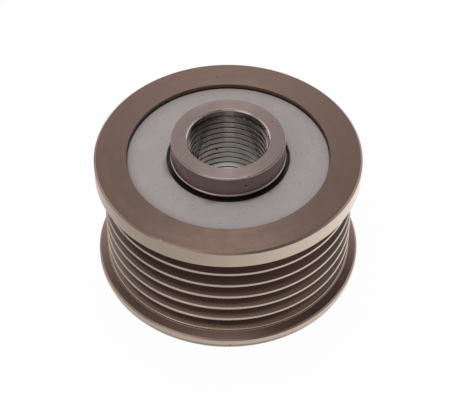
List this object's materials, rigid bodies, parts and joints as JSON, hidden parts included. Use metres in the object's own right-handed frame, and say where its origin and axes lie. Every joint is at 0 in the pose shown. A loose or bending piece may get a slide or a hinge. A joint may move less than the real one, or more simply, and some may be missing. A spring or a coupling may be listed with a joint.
{
  "type": "overrunning alternator pulley",
  "caption": "Ribbed steel belt pulley with two flanges, turning on rollers round a threaded hub, with a one-way roller clutch inside and a grey cover ring on its alternator side.",
  "frame": {"origin": "centre of the rim's front face, on the spin axis, where the pulley stands", "axes": "+Z along the spin axis towards the alternator, out of the hub's nose"},
  "size_m": [0.0572, 0.0572, 0.0345],
  "materials": {
    "rim_steel": "fine-turned steel with a brown phosphate tint",
    "hub_steel": "fine-turned steel, lightly oiled",
    "cover_grey": "matt grey coated sheet steel",
    "seal_rubber": "black nitrile rubber",
    "race_steel": "ground bearing steel",
    "roller_steel": "lapped bearing steel",
    "spring_steel": "spring strip",
    "cage_polymer": "moulded glass-filled polyamide",
    "washer_polymer": "moulded bearing polymer"
  },
  "bodies": {
    "rim": {"pulley_rim": "rim_steel", "rear_cover_ring": "cover_grey", "rear_lip_seal": "seal_rubber", "front_lip_seal": "seal_rubber", "outer_sleeve": "race_steel", "rear_thrust_washer": "washer_polymer", "front_thrust_washer": "washer_polymer"},
    "hub_assembly": {"hub": "hub_steel", "inner_race": "race_steel", "clutch_cage": "cage_polymer", "clutch_roller_01": "roller_steel", "clutch_roller_02": "roller_steel", "clutch_roller_03": "roller_steel", "clutch_roller_04": "roller_steel", "clutch_roller_05": "roller_steel", "clutch_roller_06": "roller_steel", "clutch_roller_07": "roller_steel", "clutch_roller_08": "roller_steel", "clutch_roller_09": "roller_steel", "clutch_roller_10": "roller_steel", "clutch_spring_01": "spring_steel", "clutch_spring_02": "spring_steel", "clutch_spring_03": "spring_steel", "clutch_spring_04": "spring_steel", "clutch_spring_05": "spring_steel", "clutch_spring_06": "spring_steel", "clutch_spring_07": "spring_steel", "clutch_spring_08": "spring_steel", "clutch_spring_09": "spring_steel", "clutch_spring_10": "spring_steel"},
    "rear_roller_row": {"rear_roller_cage": "cage_polymer", "rear_roller_01": "roller_steel", "rear_roller_02": "roller_steel", "rear_roller_03": "roller_steel", "rear_roller_04": "roller_steel", "rear_roller_05": "roller_steel", "rear_roller_06": "roller_steel", "rear_roller_07": "roller_steel", "rear_roller_08": "roller_steel", "rear_roller_09": "roller_steel", "rear_roller_10": "roller_steel", "rear_roller_11": "roller_steel", "rear_roller_12": "roller_steel"},
    "front_roller_row": {"front_roller_cage": "cage_polymer", "front_roller_01": "roller_steel", "front_roller_02": "roller_steel", "front_roller_03": "roller_steel", "front_roller_04": "roller_steel", "front_roller_05": "roller_steel", "front_roller_06": "roller_steel", "front_roller_07": "roller_steel", "front_roller_08": "roller_steel", "front_roller_09": "roller_steel", "front_roller_10": "roller_steel", "front_roller_11": "roller_steel", "front_roller_12": "roller_steel"}
  },
  "joints": [
    {"name": "hub_spin", "type": "hinge", "parent": "rim", "child": "hub_assembly", "pos_m": [0, 0, 0.01543], "axis": [0, 0, 1], "continuous": true},
    {"name": "rear_row_spin", "type": "hinge", "parent": "rim", "child": "rear_roller_row", "pos_m": [0, 0, 0.0213], "axis": [0, 0, 1], "continuous": true},
    {"name": "front_row_spin", "type": "hinge", "parent": "rim", "child": "front_roller_row", "pos_m": [0, 0, 0.00955], "axis": [0, 0, 1], "continuous": true}
  ],
  "couplings": [
    {"joint": "rear_row_spin", "follows": "hub_spin", "ratio": 0.4413},
    {"joint": "front_row_spin", "follows": "hub_spin", "ratio": 0.4413}
  ]
}
